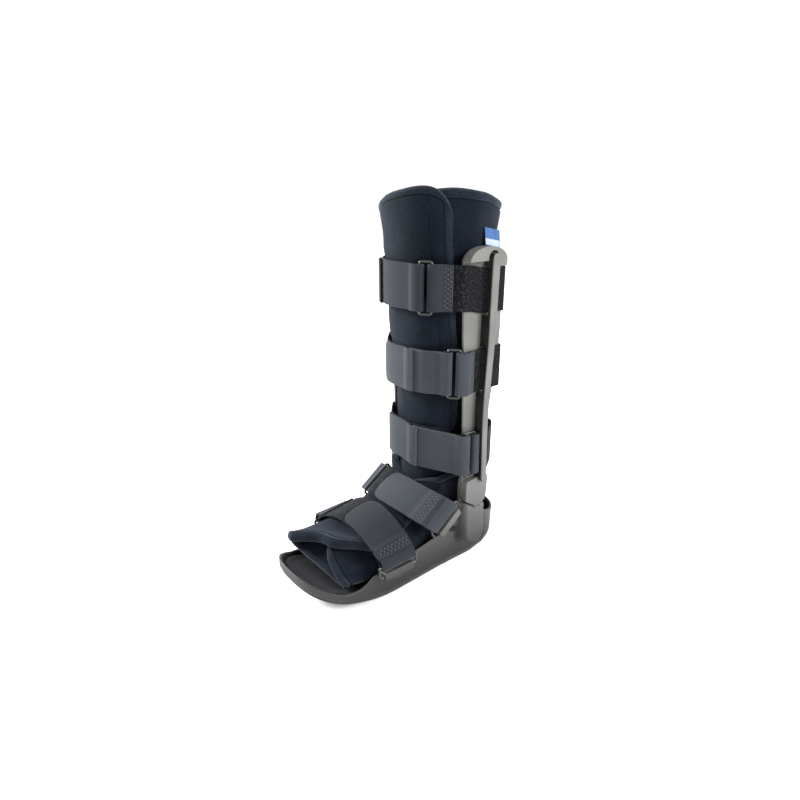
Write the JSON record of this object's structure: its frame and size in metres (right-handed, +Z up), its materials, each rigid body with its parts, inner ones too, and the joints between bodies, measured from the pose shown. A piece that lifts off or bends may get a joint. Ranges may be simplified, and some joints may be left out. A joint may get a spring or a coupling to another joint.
{
  "type": "walking boot brace",
  "caption": "Tall walking boot for an injured lower leg: rigid rocker-soled shell and side struts, padded cloth wrap for leg and foot, closed by hook-and-loop straps through rings.",
  "frame": {"origin": "middle of the footprint, on the floor", "axes": "+Z up the leg, -Y towards the toes, +X towards the side that carries the tag"},
  "size_m": [0.152, 0.288, 0.4387],
  "materials": {
    "outsole": "matte moulded rubber sole",
    "shell": "textured grey moulded plastic",
    "insole": "dark foam insole",
    "strut": "light grey moulded plastic",
    "wrap": "padded navy-black loop fabric over foam",
    "strip": "sewn hook strip",
    "tag": "woven cloth tab",
    "strap": "brushed grey strap webbing",
    "tab": "grey hook tab",
    "ring": "dark smooth wire ring"
  },
  "bodies": {
    "root": {"outsole": "outsole", "shell": "shell", "insole": "insole", "strut_near": "strut", "strut_far": "strut", "leg_wrap": "wrap", "foot_wrap": "wrap", "leg_strip": "strip", "foot_strip": "strip", "tag": "tag", "calf_top_strap": "strap", "calf_top_tab": "tab", "calf_mid_strap": "strap", "calf_mid_tab": "tab", "ankle_strap": "strap", "ankle_tab": "tab", "instep_strap": "strap", "instep_tab": "tab", "toe_strap": "strap", "toe_tab": "tab", "calf_top_ring": "ring", "calf_mid_ring": "ring", "ankle_ring": "ring", "instep_ring_near": "ring", "instep_ring_far": "ring", "toe_ring_near": "ring", "toe_ring_far": "ring"}
  },
  "joints": []
}
